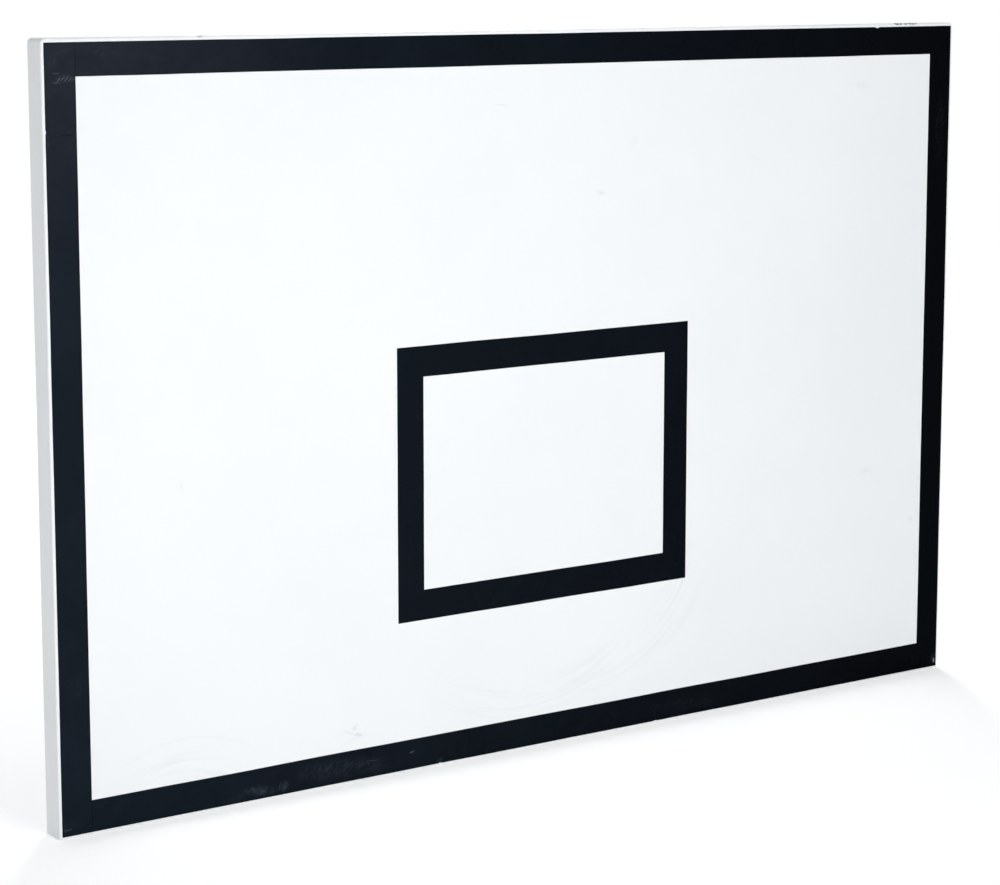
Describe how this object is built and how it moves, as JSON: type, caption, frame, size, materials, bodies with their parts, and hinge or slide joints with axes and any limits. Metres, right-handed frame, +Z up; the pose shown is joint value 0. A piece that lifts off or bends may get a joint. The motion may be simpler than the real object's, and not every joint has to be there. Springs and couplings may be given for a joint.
{
  "type": "basketball backboard",
  "caption": "Rectangular basketball backboard: white folded-steel face on a welded tube frame, with black tape border and target lines and threaded fixing points behind.",
  "frame": {"origin": "middle of the four rear fixing points, on the plane of the bush ends that the support touches", "axes": "+X to the right as seen from the front, +Y to the back, +Z up; the face looks along -Y"},
  "size_m": [1.8, 0.0503, 1.2],
  "materials": {
    "white_coat": "satin",
    "frame_coat": "satin",
    "black_vinyl": "satin",
    "bright_steel": "satin",
    "grey_sealant": "matte",
    "damping_rubber": "matte"
  },
  "bodies": {
    "root": {"face_tray": "white_coat", "ring_plate": "frame_coat", "ring_weld_nuts": "bright_steel", "frame_corner_welds": "frame_coat", "upright_welds": "frame_coat", "ring_plate_welds": "frame_coat", "bush_welds": "frame_coat", "tray_stitch_welds": "frame_coat", "border_line_left": "black_vinyl", "target_line_left": "black_vinyl", "frame_tube_left": "frame_coat", "border_line_right": "black_vinyl", "target_line_right": "black_vinyl", "frame_tube_right": "frame_coat", "border_line_top": "black_vinyl", "target_line_top": "black_vinyl", "frame_tube_top": "frame_coat", "border_line_bottom": "black_vinyl", "target_line_bottom": "black_vinyl", "frame_tube_bottom": "frame_coat", "upright_outer_left": "frame_coat", "sealant_outer_left": "grey_sealant", "upright_inner_left": "frame_coat", "sealant_inner_left": "grey_sealant", "upright_inner_right": "frame_coat", "sealant_inner_right": "grey_sealant", "upright_outer_right": "frame_coat", "sealant_outer_right": "grey_sealant", "mounting_bush_lower_left": "bright_steel", "mounting_bush_lower_right": "bright_steel", "mounting_bush_upper_left": "bright_steel", "mounting_bush_upper_right": "bright_steel", "damping_mat_1": "damping_rubber", "damping_mat_2": "damping_rubber", "damping_mat_3": "damping_rubber", "damping_mat_4": "damping_rubber", "damping_mat_5": "damping_rubber"}
  },
  "joints": []
}
